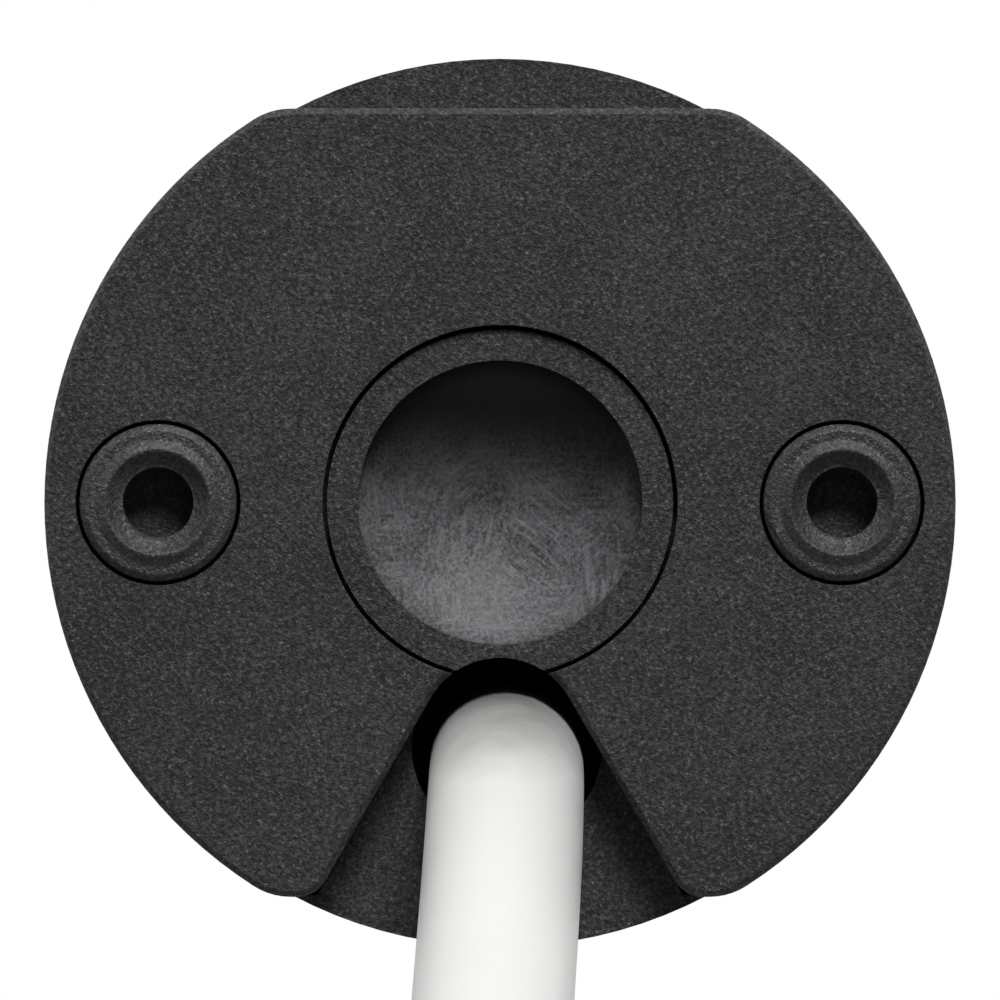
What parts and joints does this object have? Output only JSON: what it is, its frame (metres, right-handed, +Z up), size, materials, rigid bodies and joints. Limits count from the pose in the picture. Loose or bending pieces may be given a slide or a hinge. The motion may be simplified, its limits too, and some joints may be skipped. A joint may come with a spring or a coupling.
{
  "type": "tubular roller blind motor",
  "caption": "Tubular motor for a roller blind: a round black head with a cable slot, a steel tube with a geared motor and a drive wheel, and a white cable.",
  "frame": {"origin": "centre of the head's front face, midway between its two screw holes", "axes": "-Y out of the head's front face, +Y along the motor to the drive wheel, +Z up, with the cable slot at the bottom, and +X to the right as seen from the front"},
  "size_m": [0.0411, 0.4913, 0.1668],
  "materials": {
    "cover_plastic": "spark-eroded matt black moulding",
    "body_plastic": "spark-eroded matt black moulding",
    "bush_plastic": "fine matt black moulding",
    "button_plastic": "smooth grey moulding",
    "crown_plastic": "smooth matt black acetal",
    "end_cap_plastic": "matt black glass-filled moulding",
    "wheel_plastic": "matt black acetal",
    "carrier_plastic": "matt black moulding",
    "planet_plastic": "natural acetal",
    "component_black": "matt black component case",
    "component_blue": "blue lacquer",
    "board_green": "green solder resist",
    "capacitor_white": "off-white plastic can",
    "wire_grey": "PVC insulation",
    "wire_black": "PVC insulation",
    "tie_plastic": "natural nylon strap",
    "cable_white": "white PVC sheath",
    "core_brown": "brown core insulation",
    "core_blue": "blue core insulation",
    "core_earth": "green and yellow core insulation",
    "seal_rubber": "soft black rubber",
    "lining_cork": "brown friction lining",
    "tube_steel": "zinc-plated steel tube",
    "screw_steel": "zinc-plated screw",
    "shaft_steel": "turned steel",
    "spring_steel": "blued spring steel",
    "brake_steel": "ground steel",
    "gear_metal": "sintered steel",
    "planet_metal": "sintered steel",
    "lamination_steel": "stacked laminations",
    "screen_steel": "tinned screening can",
    "magnet_grey": "sintered ferrite",
    "bell_metal": "die-cast zinc",
    "rivet_aluminium": "bright aluminium rivet",
    "bush_bronze": "oiled sintered bronze",
    "winding_copper": "enamelled copper wire",
    "core_copper": "bare copper"
  },
  "bodies": {
    "motor": {"head_cover": "cover_plastic", "head_body": "body_plastic", "screw_bushes": "bush_plastic", "setting_switch": "component_black", "cable_seal": "seal_rubber", "cable_clamp": "body_plastic", "clamp_screws": "screw_steel", "cable_inlet": "cable_white", "ring_seal": "seal_rubber", "tube_rivets": "rivet_aluminium", "motor_tube": "tube_steel", "board_carrier": "carrier_plastic", "circuit_board": "board_green", "relays": "component_black", "power_converter": "component_black", "radio_module": "screen_steel", "board_components": "component_blue", "aerial": "wire_black", "mains_wires": "wire_grey", "motor_wires": "wire_black", "capacitor": "capacitor_white", "sensor_board": "board_green", "front_end_bell": "bell_metal", "rotor_bushes": "bush_bronze", "stator_core": "lamination_steel", "stator_windings": "winding_copper", "brake_plate": "brake_steel", "rear_end_bell": "bell_metal", "ring_gear": "gear_metal", "output_bush": "bush_bronze", "end_cap": "end_cap_plastic", "power_cable": "cable_white", "cable_coil": "cable_white", "cable_tie": "tie_plastic", "core_brown": "core_brown", "core_blue": "core_blue", "core_earth": "core_earth", "core_ends": "core_copper"},
    "crown": {"crown": "crown_plastic"},
    "button": {"setting_button": "button_plastic"},
    "output": {"output_shaft": "shaft_steel", "drive_wheel": "wheel_plastic", "wheel_clip": "spring_steel"},
    "second_stage": {"second_carrier": "gear_metal"},
    "first_stage": {"first_carrier": "gear_metal"},
    "rotor": {"rotor_core": "lamination_steel", "rotor_shaft": "shaft_steel", "sensor_magnet": "magnet_grey", "brake_spring": "spring_steel"},
    "brake": {"brake_disc": "brake_steel", "brake_lining": "lining_cork"},
    "first_gear_1": {"first_planet_1": "planet_plastic"},
    "first_gear_2": {"first_planet_2": "planet_plastic"},
    "first_gear_3": {"first_planet_3": "planet_plastic"},
    "second_gear_1": {"second_planet_1": "planet_metal"},
    "second_gear_2": {"second_planet_2": "planet_metal"},
    "second_gear_3": {"second_planet_3": "planet_metal"},
    "third_gear_1": {"third_planet_1": "planet_metal"},
    "third_gear_2": {"third_planet_2": "planet_metal"},
    "third_gear_3": {"third_planet_3": "planet_metal"}
  },
  "joints": [
    {"name": "output_turn", "type": "hinge", "parent": "motor", "child": "output", "pos_m": [0, 0.405, 0], "axis": [0, 1, 0], "continuous": true},
    {"name": "second_stage_turn", "type": "hinge", "parent": "motor", "child": "second_stage", "pos_m": [0, 0.37615, 0], "axis": [0, 1, 0], "continuous": true},
    {"name": "first_stage_turn", "type": "hinge", "parent": "motor", "child": "first_stage", "pos_m": [0, 0.36185, 0], "axis": [0, 1, 0], "continuous": true},
    {"name": "rotor_turn", "type": "hinge", "parent": "motor", "child": "rotor", "pos_m": [0, 0.2391, 0], "axis": [0, 1, 0], "continuous": true},
    {"name": "crown_turn", "type": "hinge", "parent": "motor", "child": "crown", "pos_m": [0, 0.01015, 0], "axis": [0, 1, 0], "continuous": true},
    {"name": "setting_press", "type": "slide", "parent": "motor", "child": "button", "axis": [0, 0, -1], "range_m": [0, 0.0005], "stiffness_N_per_m": 400},
    {"name": "brake_release", "type": "slide", "parent": "rotor", "child": "brake", "axis": [0, -1, 0], "range_m": [0, 0.0006], "stiffness_N_per_m": 4000, "deforming": ["brake_spring"]},
    {"name": "third_gear_1_turn", "type": "hinge", "parent": "output", "child": "third_gear_1", "pos_m": [0, 0.37905, 0.00907], "axis": [0, 1, 0], "continuous": true},
    {"name": "third_gear_2_turn", "type": "hinge", "parent": "output", "child": "third_gear_2", "pos_m": [0.00786, 0.37905, -0.00454], "axis": [0, 1, 0], "continuous": true},
    {"name": "third_gear_3_turn", "type": "hinge", "parent": "output", "child": "third_gear_3", "pos_m": [-0.00786, 0.37905, -0.00454], "axis": [0, 1, 0], "continuous": true},
    {"name": "second_gear_1_turn", "type": "hinge", "parent": "second_stage", "child": "second_gear_1", "pos_m": [0, 0.36475, 0.00907], "axis": [0, 1, 0], "continuous": true},
    {"name": "second_gear_2_turn", "type": "hinge", "parent": "second_stage", "child": "second_gear_2", "pos_m": [0.00786, 0.36475, -0.00454], "axis": [0, 1, 0], "continuous": true},
    {"name": "second_gear_3_turn", "type": "hinge", "parent": "second_stage", "child": "second_gear_3", "pos_m": [-0.00786, 0.36475, -0.00454], "axis": [0, 1, 0], "continuous": true},
    {"name": "first_gear_1_turn", "type": "hinge", "parent": "first_stage", "child": "first_gear_1", "pos_m": [0, 0.35245, 0.00907], "axis": [0, 1, 0], "continuous": true},
    {"name": "first_gear_2_turn", "type": "hinge", "parent": "first_stage", "child": "first_gear_2", "pos_m": [0.00786, 0.35245, -0.00454], "axis": [0, 1, 0], "continuous": true},
    {"name": "first_gear_3_turn", "type": "hinge", "parent": "first_stage", "child": "first_gear_3", "pos_m": [-0.00786, 0.35245, -0.00454], "axis": [0, 1, 0], "continuous": true}
  ],
  "couplings": [
    {"joint": "third_gear_1_turn", "follows": "output_turn", "ratio": -2.5714},
    {"joint": "third_gear_2_turn", "follows": "output_turn", "ratio": -2.5714},
    {"joint": "third_gear_3_turn", "follows": "output_turn", "ratio": -2.5714},
    {"joint": "second_gear_1_turn", "follows": "output_turn", "ratio": -14.143},
    {"joint": "second_gear_2_turn", "follows": "output_turn", "ratio": -14.143},
    {"joint": "second_gear_3_turn", "follows": "output_turn", "ratio": -14.143},
    {"joint": "first_gear_1_turn", "follows": "output_turn", "ratio": -77.786},
    {"joint": "first_gear_2_turn", "follows": "output_turn", "ratio": -77.786},
    {"joint": "first_gear_3_turn", "follows": "output_turn", "ratio": -77.786},
    {"joint": "second_stage_turn", "follows": "output_turn", "ratio": 5.5},
    {"joint": "first_stage_turn", "follows": "output_turn", "ratio": 30.25},
    {"joint": "rotor_turn", "follows": "output_turn", "ratio": 166.38}
  ]
}
